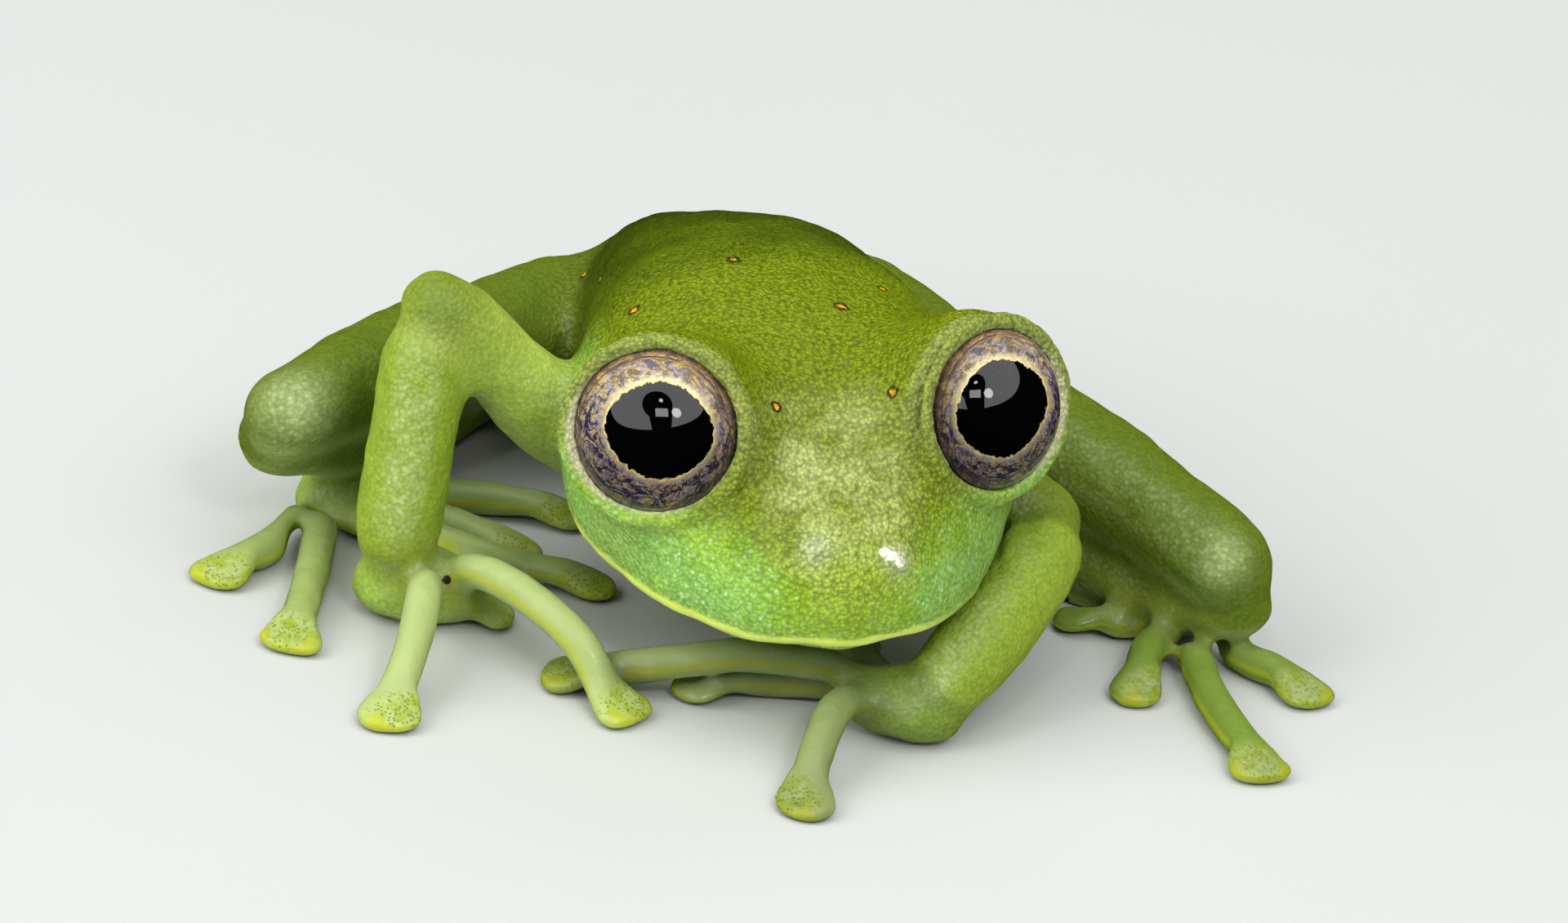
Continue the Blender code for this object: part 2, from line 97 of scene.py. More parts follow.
# The photo's frame in pixels, and what is placed by it
PHOTO = (1920, 1130)
NOSTRILS = ((1000, 672), (1096, 684))
SPOTS = (
    (951, 498, 0.15), (1093, 480, 0.15), (1030, 375, 0.17), (1080, 353, 0.13),
    (898, 318, 0.17), (904, 298, 0.13), (776, 380, 0.16), (716, 335, 0.16), (735, 342, 0.1),
)
# Knees, in pixels with a size: whitish grains with a painted highlight
KNEE_HIGHLIGHTS = ((366, 498, 1.0), (1495, 690, 0.6))
ELBOW = (530, 345)
SNOUT_TIP = (1050, 725)
CANTHI = ((908, 494), (1144, 492))
GLINT = ((1083, 676), (1093, 681), (1103, 688))
MOLES = ((547, 710, 0.13), (1125, 755, 0.06), (1138, 775, 0.1), (1305, 733, 0.12))

# Camera: where it is, how far down it looks and how it is turned about its view
CAMERA_PLACE = Vector((-0.096, -170.846, 82.12)) * MM
CAMERA_DOWN = math.radians(25)
CAMERA_ROLL = math.radians(8)
CAMERA_LENS = 188.0
SENSOR = 36.0

# Light
LOOKED_AT = Vector((-0.1, 0, 2.5))
SOFTBOX_TURN = math.radians(8)


def nodes_like(*kinds):
    return [n for n in sorted(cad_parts) if n.startswith(kinds)]


FLESH = [n for n in sorted(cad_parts) if not n.startswith("eye")]
GROUPS = {
    "head": nodes_like("head"),
    "trunk": nodes_like("torso"),
    "arms": nodes_like("upper_arm", "forearm"),
    "legs": nodes_like("thigh", "shank"),
    "palms": nodes_like("hand", "foot"),
    "fingers": nodes_like("finger"),
    "toes": nodes_like("toe"),
}


def corners(name):
    """A node's points, in millimetres."""
    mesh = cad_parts[name].data
    flat = np.empty(len(mesh.vertices) * 3)
    mesh.vertices.foreach_get("co", flat)
    return flat.reshape(-1, 3) / MM


def faces(name):
    return [tuple(p.vertices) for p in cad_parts[name].data.polygons]


def surface_of(names):
    """One search tree over several nodes."""
    points = []
    polygons = []
    for name in names:
        start = len(points)
        points.extend(map(Vector, corners(name)))
        polygons.extend(tuple(i + start for i in face) for face in faces(name))
    return BVHTree.FromPolygons(points, polygons)


# Where the eyes are and the head's own frame
def eye_facts(name):
    """The centre of an eyeball and the way it looks, from a solid that is a ball cut flat."""
    points = corners(name)
    rows = np.c_[2 * points, np.ones(len(points))]
    centre = Vector(np.linalg.lstsq(rows, (points ** 2).sum(1), rcond=None)[0][:3])
    back = Vector()
    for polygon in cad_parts[name].data.polygons:
        if (polygon.center / MM - centre).dot(polygon.normal) < 0:
            back += polygon.normal * polygon.area
    return centre, -back.normalized()


EYES = {side: eye_facts("eye_" + side) for side in ("left", "right")}


def head_frame():
    (left, left_axis), (right, right_axis) = EYES["left"], EYES["right"]
    across = (left - right).normalized()
    look = (left_axis + right_axis).normalized()
    above = look.cross(across)
    forward = look * math.cos(EYE_TILT) - above * math.sin(EYE_TILT)
    up = forward.cross(across)
    turn = Matrix((across, forward, up)).transposed()
    return Matrix.Translation((left + right) / 2) @ turn.to_4x4()


HEAD = head_frame()


def eye_matrix(side):
    """The eye's frame: x across the head, y up, z along the way it looks."""
    centre, axis = EYES[side]
    up = (HEAD.to_3x3() @ Vector((0, 0, 1))).normalized()
    across = up.cross(axis).normalized()
    turn = Matrix((across, axis.cross(across), axis)).transposed()
    return Matrix.Translation(centre) @ turn.to_4x4()


# The camera's rays, which also find what the photo shows at a pixel
VIEW_DOWN = Vector((0, math.cos(CAMERA_DOWN), -math.sin(CAMERA_DOWN)))
LEVEL_UP = Vector((0, math.sin(CAMERA_DOWN), math.cos(CAMERA_DOWN)))
LEVEL_RIGHT = Vector((1, 0, 0))
VIEW_RIGHT = LEVEL_RIGHT * math.cos(CAMERA_ROLL) + LEVEL_UP * math.sin(CAMERA_ROLL)
VIEW_UP = LEVEL_UP * math.cos(CAMERA_ROLL) - LEVEL_RIGHT * math.sin(CAMERA_ROLL)


def pixel_ray(x, y):
    """Start and direction of the ray through a pixel of the photo, in millimetres."""
    reach = CAMERA_LENS / SENSOR * PHOTO[0]
    aside = (x - PHOTO[0] / 2) / reach
    above = (PHOTO[1] / 2 - y) / reach
    way = VIEW_DOWN + VIEW_RIGHT * aside + VIEW_UP * above
    return CAMERA_PLACE / MM, way.normalized()


# Making the skin
def new_piece(name, points, polygons):
    mesh = bpy.data.meshes.new(name)
    mesh.from_pydata([tuple(p) for p in points], [], polygons)
    mesh.validate()
    obj = bpy.data.objects.new(name, mesh)
    bpy.context.scene.collection.objects.link(obj)
    return obj


def bake(obj):
    """Replaces the object's mesh by the one that its modifiers make."""
    graph = bpy.context.evaluated_depsgraph_get()
    mesh = bpy.data.meshes.new_from_object(obj.evaluated_get(graph))
    obj.modifiers.clear()
    obj.data = mesh


def one_skin(obj, voxel):
    remesh = obj.modifiers.new("one skin", "REMESH")
    remesh.mode = "VOXEL"
    remesh.voxel_size = voxel
    bake(obj)


def relax(obj, rounds):
    """Smooths the mesh. Each point is moved in as many rounds as its own number says."""
    mesh = obj.data
    points, _ = mesh_arrays(obj)
    edges = np.empty(len(mesh.edges) * 2, dtype=np.int32)
    mesh.edges.foreach_get("vertices", edges)
    one, other = edges.reshape(-1, 2).T
    count = len(points)
    links = np.bincount(one, minlength=count) + np.bincount(other, minlength=count)
    for step in range(int(rounds.max())):
        moving = (rounds > step) * 0.5
        for i in range(3):
            near = np.bincount(one, points[other, i], count)
            near += np.bincount(other, points[one, i], count)
            points[:, i] += (near / links - points[:, i]) * moving
    mesh.vertices.foreach_set("co", points.ravel())
    mesh.update()


def meetings():
    """Each flesh node with the nodes that it grows from."""
    pairs = [("torso", ("head",))]
    for side in ("_left", "_right"):
        pairs += [
            ("upper_arm" + side, ("torso", "head")),
            ("forearm" + side, ("upper_arm" + side,)),
            ("hand" + side, ("forearm" + side,)),
            ("thigh" + side, ("torso",)),
            ("shank" + side, ("thigh" + side,)),
            ("foot" + side, ("shank" + side,)),
        ]
        pairs += [(n, ("hand" + side,)) for n in nodes_like("finger" + side)]
        pairs += [(n, ("foot" + side,)) for n in nodes_like("toe" + side)]
    return pairs


def closed_seams():
    """Points and faces of all flesh, with each node reaching a little into what it grows from."""
    points = []
    polygons = []
    grows_from = dict(meetings())
    for name in FLESH:
        start = len(points)
        polygons.extend(tuple(i + start for i in face) for face in faces(name))
        own = [Vector(p) for p in corners(name)]
        if name in grows_from:
            root = surface_of(grows_from[name])
            for point in own:
                near, _, _, distance = root.find_nearest(point, SEAM_REACH)
                if near and distance > 0:
                    point += (near - point) * (1 + SEAM_SINK / distance)
        points.extend(own)
    return points, polygons


def add_lid_rings(obj):
    """Joins a thin ring round each eye's opening to the skin's mesh."""
    bm = bmesh.new()
    bm.from_mesh(obj.data)
    around, across = 96, 12
    for side in EYES:
        place = eye_matrix(side)
        rings = []
        for i in range(around):
            turn = 2 * math.pi * i / around
            ring = []
            for j in range(across):
                lean = 2 * math.pi * j / across
                reach = LID_RING + LID_HALF_WIDTH * math.cos(lean)
                height = LID_PLACE + LID_HALF_HEIGHT * math.sin(lean)
                local = Vector((reach * math.cos(turn), reach * math.sin(turn), height))
                ring.append(bm.verts.new(place @ local))
            rings.append(ring)
        for i in range(around):
            here, ahead = rings[i], rings[(i + 1) % around]
            for j in range(across):
                k = (j + 1) % across
                bm.faces.new((here[j], ahead[j], ahead[k], here[k]))
    bm.to_mesh(obj.data)
    bm.free()


def smoothstep(value, low, high):
    t = np.clip((value - low) / (high - low), 0, 1)
    return t * t * (3 - 2 * t)


def bell(distance, width):
    return np.exp(-(distance / width) ** 2)


def waves(points, size, seed, count=7):
    """A smooth uneven field between about -1 and 1, made of a few seeded waves."""
    draw = np.random.default_rng(seed)
    total = np.zeros(len(points))
    for _ in range(count):
        way = draw.normal(size=3)
        way *= 2 * math.pi / (size * draw.uniform(0.7, 1.5) * np.linalg.norm(way))
        total += np.sin(points @ way + draw.uniform(0, 2 * math.pi))
    return total / math.sqrt(count)


def mesh_arrays(obj):
    count = len(obj.data.vertices)
    points = np.empty(count * 3)
    normals = np.empty(count * 3)
    obj.data.vertices.foreach_get("co", points)
    obj.data.vertices.foreach_get("normal", normals)
    return points.reshape(-1, 3), normals.reshape(-1, 3)


def in_frame(points, matrix):
    """Points in the frame whose place is the matrix."""
    inverse = np.array(matrix.inverted())
    return points @ inverse[:3, :3].T + inverse[:3, 3]


def shares(points):
    """How much each point belongs to each group of nodes, by how near they are."""
    nearness = {}
    for group, names in GROUPS.items():
        tree = surface_of(names)
        gaps = np.array([tree.find_nearest(p)[3] for p in points])
        nearness[group] = bell(gaps, 0.45) + 1e-9
    total = sum(nearness.values())
    share = {group: near / total for group, near in nearness.items()}
    share["digits"] = share["fingers"] + share["toes"]
    return share


def pad_places():
    """The middle of the disc at the end of each finger and toe, and the way the digit points."""
    places = []
    for name in GROUPS["fingers"] + GROUPS["toes"]:
        kind, side, _ = name.split("_")
        root = corners({"finger": "hand_", "toe": "foot_"}[kind] + side).mean(0)
        own = corners(name)
        far = own[np.argmax(np.linalg.norm(own - root, axis=1))]
        back = own.mean(0) - far
        centre = far + back / np.linalg.norm(back) * 0.5
        near = own[np.linalg.norm(own - far, axis=1) < 1.8].mean(0)
        places.append((Vector((centre[0], centre[1], 0.3)), Vector(far - near)))
    return places


def soften(obj):
    """Smooths the body most and the thin digits least."""
    points, _ = mesh_arrays(obj)
    share = shares(points)
    body = share["head"] + share["trunk"]
    limb = share["arms"] + share["legs"] + share["palms"]
    rounds = BODY_SMOOTHING * body + LIMB_SMOOTHING * limb + DIGIT_SMOOTHING * share["digits"]
    relax(obj, rounds)


def nearest_distance(points, centres):
    places = np.array([tuple(c) for c in centres])
    gaps = np.linalg.norm(points[:, None, :] - places[None, :, :], axis=2)
    return gaps.min(1)


class Skin:
    """The skin's points with the places and masks that shape and colour it."""

    def __init__(self, obj):
        self.obj = obj
        self.points, self.normals = mesh_arrays(obj)
        self.tree = BVHTree.FromObject(obj, bpy.context.evaluated_depsgraph_get())
        self.share = shares(self.points)
        self.head = in_frame(self.points, HEAD)
        self.masks = {}

    def at_pixel(self, x, y):
        start, way = pixel_ray(x, y)
        return self.tree.ray_cast(start, way)[0]

    def look_again(self):
        """Finds what is at a pixel by the shape as it is now."""
        polygons = [tuple(p.vertices) for p in self.obj.data.polygons]
        self.tree = BVHTree.FromPolygons(self.points.tolist(), polygons)

    def near(self, *kinds):
        """1 on the nodes whose names start so, falling to 0 half a millimetre away."""
        tree = surface_of(nodes_like(*kinds))
        found = [tree.find_nearest(p, 0.8)[3] for p in self.points]
        return smoothstep(-np.array([0.8 if gap is None else gap for gap in found]), -0.7, -0.2)

    def distance_to(self, place):
        return np.linalg.norm(self.points - np.array(place), axis=1)

    def push(self, amount):
        self.points += self.normals * amount[:, None]

    def finish(self):
        self.obj.data.vertices.foreach_set("co", self.points.ravel())
        for name, values in self.masks.items():
            layer = self.obj.data.attributes.new(name, "FLOAT", "POINT")
            layer.data.foreach_set("value", values.astype(np.float32))
        self.obj.data.transform(Matrix.Scale(MM, 4))
        self.obj.data.shade_smooth()


def shape_mouth(skin):
    """The line of the mouth, with the upper lip a little swollen above it."""
    x, y, z = skin.head.T
    line = LIP_HEIGHT + LIP_RISE * y - MOUTH_DROP
    above = z - line
    along = skin.share["head"] * smoothstep(y, MOUTH_CORNER - 0.4, MOUTH_CORNER + 0.6)
    fade = np.where(np.abs(above) < 1.0, along, 0)
    skin.push(-MOUTH_DEPTH * bell(above, MOUTH_WIDTH) * fade)
    skin.push(LIP_SWELL * bell(above - 0.2, 0.14) * fade)
    lip = smoothstep(-np.abs(above - 0.17), -0.23, -0.14) * fade
    skin.masks["lip"] = lip * (1 - 0.75 * smoothstep(x, 1.2, 2.8))
    skin.masks["jowl"] = bell(above - 0.9, 0.7) * along * smoothstep(np.abs(x), 0.9, 2.4)
    skin.masks["mouth"] = bell(above, 0.06) * fade


def shape_nostrils(skin):
    bump = np.zeros(len(skin.points))
    pit = np.zeros(len(skin.points))
    for pixel in NOSTRILS:
        centre = skin.at_pixel(*pixel)
        bump = np.maximum(bump, bell(skin.distance_to(centre), 0.33))
        slit = centre + HEAD.to_3x3() @ Vector((0, 0.3, -0.16))
        pit = np.maximum(pit, bell(skin.distance_to(slit), 0.12))
    skin.push(0.14 * bump - 0.1 * pit)
    skin.masks["nostril"] = bump
    skin.masks["pit"] = pit


def shape_pads(skin):
    """Spreads the end of each digit sideways into a fan."""
    for centre, way in pad_places():
        aside = np.array((way.y, -way.x, 0)) / math.hypot(way.x, way.y)
        offset = (skin.points - np.array(centre)) @ aside
        here = skin.share["digits"] * smoothstep(-skin.distance_to(centre), -1.05, -0.45)
        skin.points += (PAD_FLARE * here * offset)[:, None] * aside
        height = skin.points[:, 2]
        skin.push(here * (0.05 * bell(height - 0.14, 0.12) - 0.03 * bell(height - 0.4, 0.08)))


def shape_jaw(skin):
    """Fuller cheeks along the mouth."""
    x, y, z = skin.head.T
    along = skin.share["head"] * smoothstep(y, MOUTH_CORNER - 1.0, MOUTH_CORNER + 1.0)
    low = bell(z - (LIP_HEIGHT + LIP_RISE * y), 0.9)
    skin.push(JAW_FULLNESS * low * along * smoothstep(np.abs(x), 0.8, 2.4))


def shape_softness(skin):
    """Slow unevenness of soft flesh, weaker on the thin digits."""
    body = skin.share["head"] + skin.share["trunk"]
    limb = skin.share["arms"] + skin.share["legs"] + skin.share["palms"]
    skin.push(0.035 * waves(skin.points, 2.2, 1) * (0.7 * body + 0.8 * limb))
    skin.push(0.012 * waves(skin.points, 0.7, 2, 12) * (body + limb))


def clear_eyes(skin):
    """Keeps the skin of the sockets under the irises."""
    for side in EYES:
        place = eye_matrix(side)
        local = in_frame(skin.points, place)
        inside = np.hypot(local[:, 0], local[:, 1]) < APERTURE
        inside &= np.abs(local[:, 2] - IRIS_PLACE) < 0.5
        local[:, 2] = np.minimum(local[:, 2], IRIS_PLACE - 0.15)
        skin.points[inside] = in_frame(local[inside], place.inverted())


def mark_skin(skin):
    """Masks for the colours: where each kind of skin is, the spots, moles and eye rims, and where shade
    and highlights are painted.
    """
    x, y, z = skin.head.T
    head = skin.share["head"]
    skin.masks["head"] = head
    skin.masks["limb"] = skin.share["arms"] + skin.share["legs"] + skin.share["palms"]
    skin.masks["digit"] = skin.share["digits"]
    skin.masks["leg"] = skin.share["legs"]
    skin.masks["palm"] = skin.share["palms"]
    cheek = head * smoothstep(-z + 0.35 * np.abs(x), 1.4, 3.0)
    skin.masks["cheek"] = cheek
    bridge = smoothstep(-np.abs(x) - 0.2 * np.abs(y - 2.2), -2.2, -0.9)
    skin.masks["bridge"] = head * bridge * smoothstep(y, -0.6, 1.2)
    skin.masks["under"] = smoothstep(-skin.normals[:, 2], 0.2, 0.8)
    skin.masks["side"] = 1 - np.abs(skin.normals[:, 2])
    pad = np.zeros(len(skin.points))
    pad_rim = np.zeros(len(skin.points))
    for centre, way in pad_places():
        gap = skin.distance_to(centre)
        along = (skin.points - np.array(centre)) @ np.array(way.normalized())
        pad = np.maximum(pad, smoothstep(-gap, -1.0, -0.55) * smoothstep(along, -0.8, -0.25))
        outer = smoothstep(gap, 0.34, 0.62) * smoothstep(along, -0.35, 0.1)
        pad_rim = np.maximum(pad_rim, outer * (gap < 1.2))
    skin.masks["pad"] = skin.share["digits"] * pad
    skin.masks["pad_rim"] = pad_rim
    # Pale grains with a painted highlight where the limbs face a given way, left and right, but not at
    # the elbow
    ridges = skin.normals @ np.array(HIGHLIGHT_WAYS).T
    ridge = np.where(skin.points[:, 0] > 0, ridges[:, 0], ridges[:, 1])
    elbow = bell(skin.distance_to(skin.at_pixel(*ELBOW)), 1.7)
    skin.masks["ridge"] = smoothstep(ridge, 0.72, 0.95) * (1 - elbow)
    # Painted shade: the left hand, its fingers and upper arm, the elbow and the far cheek are darkened
    dull = np.maximum(skin.near("finger_left", "hand_left", "upper_arm_left"), 0.75 * elbow)
    skin.masks["dull"] = np.maximum(dull, 0.5 * cheek * smoothstep(x, 1.2, 3.0))
    # Painted light: the right upper arm is made lighter, except at the elbow
    skin.masks["light_arm"] = skin.near("upper_arm_right") * (1 - elbow)
    # Painted shade: the back grows darker towards the rear
    skin.masks["rear"] = smoothstep(skin.points[:, 1], -1.0, 7.0)
    # Painted shade on the toes, less on the right foot's toes
    skin.masks["toe"] = skin.share["toes"] * (1 - 0.6 * skin.near("toe_right"))
    # Whitish grains with a painted highlight on the knees
    knee = np.zeros(len(skin.points))
    for px, py, size in KNEE_HIGHLIGHTS:
        knee = np.maximum(knee, bell(skin.distance_to(skin.at_pixel(px, py)), size))
    skin.masks["knee"] = knee
    canthi = [skin.at_pixel(*pixel) for pixel in CANTHI]
    skin.masks["canthus"] = bell(nearest_distance(skin.points, canthi), 0.2)
    glint = [skin.at_pixel(*pixel) for pixel in GLINT]
    skin.masks["glint"] = bell(nearest_distance(skin.points, glint), 0.15)
    tip = skin.distance_to(skin.at_pixel(*SNOUT_TIP))
    skin.masks["tip"] = head * bell(tip, 1.3)
    spot = np.zeros(len(skin.points))
    for px, py, size in SPOTS:
        place = skin.at_pixel(px, py)
        if place:
            spot = np.maximum(spot, 1 - skin.distance_to(place) / (2 * size))
    skin.masks["spot"] = np.clip(spot, 0, 1)
    mole = np.zeros(len(skin.points))
    for px, py, size in MOLES:
        place = skin.at_pixel(px, py)
        if place:
            mole = np.maximum(mole, bell(skin.distance_to(place), size))
    skin.masks["mole"] = mole
    rim = np.zeros(len(skin.points))
    halo = np.zeros(len(skin.points))
    for side, outward in (("left", 1), ("right", -1)):
        local = in_frame(skin.points, eye_matrix(side))
        reach = np.hypot(local[:, 0], local[:, 1])
        turn = np.arctan2(local[:, 1], local[:, 0] * outward)
        near = (local[:, 2] > 0.3) & (local[:, 2] < 1.6)
        edge = APERTURE + 0.05 + 0.2 * bell(turn + 0.35, 0.8)
        rim = np.maximum(rim, near * (1 - smoothstep(reach, edge - 0.04, edge + 0.05)))
        pale = near * (1 - smoothstep(reach, edge + 0.1, edge + 0.8))
        halo = np.maximum(halo, pale * (0.3 + 0.7 * smoothstep(local[:, 1], -1.2, 0.6)))
    skin.masks["rim"] = rim
    skin.masks["halo"] = halo


def make_skin():
    obj = new_piece("skin", *closed_seams())
    one_skin(obj, BASE_VOXEL)
    soften(obj)
    add_lid_rings(obj)
    one_skin(obj, SKIN_VOXEL)
    relax(obj, np.full(len(obj.data.vertices), SKIN_SMOOTHING))
    skin = Skin(obj)
    shape_pads(skin)
    shape_jaw(skin)
    shape_softness(skin)
    shape_nostrils(skin)
    shape_mouth(skin)
    clear_eyes(skin)
    skin.look_again()
    mark_skin(skin)
    skin.points[:, 2] = np.maximum(skin.points[:, 2], 0)
    skin.finish()
    return obj


# Eyes
def dome(name, profile, sides=144):
    """A turned body from its axis outwards and back, in an eye's own frame."""
    points = []
    polygons = []
    rings = []
    for reach, height in profile:
        if reach == 0:
            rings.append([len(points)] * sides)
            points.append((0, 0, height))
            continue
        rings.append(list(range(len(points), len(points) + sides)))
        for i in range(sides):
            turn = 2 * math.pi * i / sides
            points.append((reach * math.cos(turn), reach * math.sin(turn), height))
    for near, far in zip(rings, rings[1:]):
        for i in range(sides):
            j = (i + 1) % sides
            quad = (near[i], far[i], far[j], near[j])
            polygons.append(tuple(dict.fromkeys(quad)))
    return new_piece(name, points, polygons)


def iris_profile():
    rings = 56
    profile = [(0, IRIS_PLACE + IRIS_BULGE)]
    for i in range(1, rings + 1):
        reach = (APERTURE + 0.02) * i / rings
        fall = smoothstep(reach / APERTURE, 0.35, 1.05)
        profile.append((reach, IRIS_PLACE + IRIS_BULGE * (1 - fall)))
    profile.append((APERTURE + 0.02, IRIS_PLACE - IRIS_THICKNESS))
    profile.append((0, IRIS_PLACE - IRIS_THICKNESS))
    return profile


def cornea_profile():
    lowest = math.acos(CORNEA_BACK / EYE_RADIUS)
    steps = 36
    profile = [(0, EYE_RADIUS)]
    for i in range(1, steps + 1):
        angle = lowest * i / steps
        profile.append((EYE_RADIUS * math.sin(angle), EYE_RADIUS * math.cos(angle)))
    profile.append((0, CORNEA_BACK))
    return profile


def keep_vectors(obj, name, vectors):
    layer = obj.data.attributes.new(name, "FLOAT_VECTOR", "POINT")
    layer.data.foreach_set("vector", vectors.astype(np.float32).ravel())


def mark_iris(obj, side, place):
    """The iris's own coordinates, and the way a lens in the pupil would face at each point."""
    local, _ = mesh_arrays(obj)
    keep_vectors(obj, "place", local)
    middle, across, upward, squared = np.array(LENS_LEAN[side])
    x, y = local[:, :1], local[:, 1:2]
    lean = middle + x * across + y * upward + x ** 2 * squared
    height = np.sqrt(np.maximum(1 - (lean ** 2).sum(1), 0))
    facing_out = np.c_[lean, height] @ np.array(place.to_3x3()).T
    keep_vectors(obj, "mirror", facing_out)


def make_eye(side, cornea_paint):
    place = eye_matrix(side)
    iris = dome("iris_" + side, iris_profile())
    cornea = dome("cornea_" + side, cornea_profile())
    mark_iris(iris, side, place)
    for obj, paint in ((iris, iris_paint(side)), (cornea, cornea_paint)):
        obj.data.transform(Matrix.Scale(MM, 4) @ place)
        obj.data.materials.append(paint)
        obj.data.shade_smooth()
        obj.data.set_sharp_from_angle(angle=math.radians(50))
        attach(obj, "root")
    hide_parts("eye_" + side)


# Materials
class Paint:
    """Short calls for the nodes of one material."""

    def __init__(self, name):
        self.material = bpy.data.materials.new(name)
        self.material.use_nodes = True
        self.tree = self.material.node_tree
        self.tree.nodes.clear()
        self.place = self.scaled(self.node("TexCoord").outputs["Object"], 1 / MM)

    def node(self, kind, settings=None, **inputs):
        node = self.tree.nodes.new("ShaderNode" + kind)
        for key, value in (settings or {}).items():
            setattr(node, key, value)
        for key, value in inputs.items():
            self.feed(node.inputs[key.replace("_", " ")], value)
        return node

    def feed(self, socket, value):
        if isinstance(value, bpy.types.NodeSocket):
            self.tree.links.new(value, socket)
        elif socket.type == "RGBA":
            socket.default_value = (*value, 1)
        else:
            socket.default_value = value

    def scaled(self, vector, by):
        node = self.node("VectorMath", {"operation": "SCALE"}, Scale=by)
        self.feed(node.inputs[0], vector)
        return node.outputs["Vector"]

    def maths(self, operation, a, b=0.0):
        node = self.node("Math", {"operation": operation})
        self.feed(node.inputs[0], a)
        self.feed(node.inputs[1], b)
        return node.outputs["Value"]

    def step(self, value, low, high, to_low=0.0, to_high=1.0):
        """Eases from to_low to to_high as the value goes from low to high."""
        node = self.node(
            "MapRange", {"interpolation_type": "SMOOTHSTEP"}, Value=value,
            From_Min=low, From_Max=high, To_Min=to_low, To_Max=to_high,
        )
        return node.outputs["Result"]

    def mask(self, name):
        return self.node("Attribute", {"attribute_name": name}).outputs["Fac"]

    def noise(self, size, detail=3.0, roughness=0.5, place=None, distortion=0.0):
        """Noise whose features are about that many millimetres."""
        node = self.node(
            "TexNoise", Vector=place or self.place, Scale=1 / size, Detail=detail,
            Roughness=roughness, Distortion=distortion,
        )
        return node.outputs["Fac"]

    def cells(self, size, feature="F1", place=None, randomness=1.0):
        node = self.node(
            "TexVoronoi", {"feature": feature}, Vector=place or self.place, Scale=1 / size,
            Randomness=randomness,
        )
        return node.outputs["Distance"]

    def product(self, *factors):
        total = factors[0]
        for factor in factors[1:]:
            total = self.maths("MULTIPLY", total, factor)
        return total

    def mix(self, a, b, amount):
        node = self.node("Mix", {"data_type": "RGBA"})
        self.feed(node.inputs[0], amount)
        self.feed(node.inputs[6], a)
        self.feed(node.inputs[7], b)
        return node.outputs[2]

    def bump(self, height, depth, normal=None):
        """Raises the height by up to depth millimetres."""
        node = self.node("Bump", Height=height, Distance=depth * MM)
        if normal:
            self.feed(node.inputs["Normal"], normal)
        return node.outputs["Normal"]

    def output(self, shader):
        self.node("OutputMaterial", Surface=shader)
        return self.material


BACK = (0.078, 0.12, 0.002)
BACK_LIGHT = (0.13, 0.185, 0.003)
CROWN = (0.18, 0.24, 0.003)
BRIDGE_WITH_SHEEN = (0.43, 0.49, 0.15)
CHEEK = (0.25, 0.46, 0.02)
CHEEK_PALE = (0.35, 0.57, 0.07)
JOWL = (0.27, 0.51, 0.12)
AQUA = (0.19, 0.45, 0.11)
SPECKLE = (0.46, 0.72, 0.34)
TIP = (0.30, 0.42, 0.008)
LIP = (0.80, 0.95, 0.13)
NOSTRIL = (0.50, 0.56, 0.33)
CANTHUS = (0.55, 0.42, 0.04)
LIMB = (0.27, 0.37, 0.035)
LIMB_GRAIN_HIGHLIGHT = (0.45, 0.52, 0.22)
PAINTED_LIGHT_ARM = (0.45, 0.56, 0.11)
PALM = (0.36, 0.53, 0.10)
# Legs darker than the arms: painted shade
LEG_SHADED = (0.12, 0.175, 0.012)
KNEE_HIGHLIGHT = (0.40, 0.47, 0.21)
DIGIT = (0.38, 0.46, 0.18)
DIGIT_EDGE = (0.47, 0.50, 0.015)
TOE_SHADED = (0.16, 0.24, 0.035)
PAD = (0.42, 0.50, 0.17)
PAD_GREEN = (0.34, 0.43, 0.05)
PAD_SPECK = (0.16, 0.22, 0.02)
BELLY = (0.50, 0.64, 0.22)
HALO = (0.33, 0.38, 0.11)
RIM = (0.50, 0.49, 0.28)
GLINT_WHITE = (0.95, 0.90, 0.72)
SPOT_DARK = (0.05, 0.04, 0.005)
SPOT_GOLD = (0.75, 0.40, 0.01)
MOLE = (0.03, 0.010, 0.008)


def head_colour(p, colour, slow, patchy):
    """Olive crown, a greyer pale bridge that is partly its own grains and partly painted sheen, green
    cheeks with a breath of blue, and pale fine dots.
    """
    colour = p.mix(colour, CROWN, p.mask("head"))
    # The bridge's pale tone is partly its grains and partly a painted sheen
    colour = p.mix(colour, BRIDGE_WITH_SHEEN, p.product(p.mask("bridge"), p.step(patchy, 0.2, 0.7)))
    cheek = p.mix(CHEEK, CHEEK_PALE, p.step(patchy, 0.35, 0.65))
    cheek = p.mix(cheek, AQUA, p.product(p.step(slow, 0.42, 0.62), 0.5))
    cheek = p.mix(cheek, JOWL, p.product(p.mask("jowl"), 0.7))
    dots = p.step(p.cells(0.19), 0.36, 0.16)
    cheek = p.mix(cheek, SPECKLE, p.product(dots, 0.7))
    colour = p.mix(colour, cheek, p.mask("cheek"))
    colour = p.mix(colour, TIP, p.product(p.mask("tip"), 0.8))
    colour = p.mix(colour, NOSTRIL, p.product(p.mask("nostril"), 0.8))
    colour = p.mix(colour, LIP, p.mask("lip"))
    colour = p.mix(colour, CANTHUS, p.product(p.mask("canthus"), 0.7))
    return p.mix(colour, HALO, p.product(p.mask("halo"), 0.6))


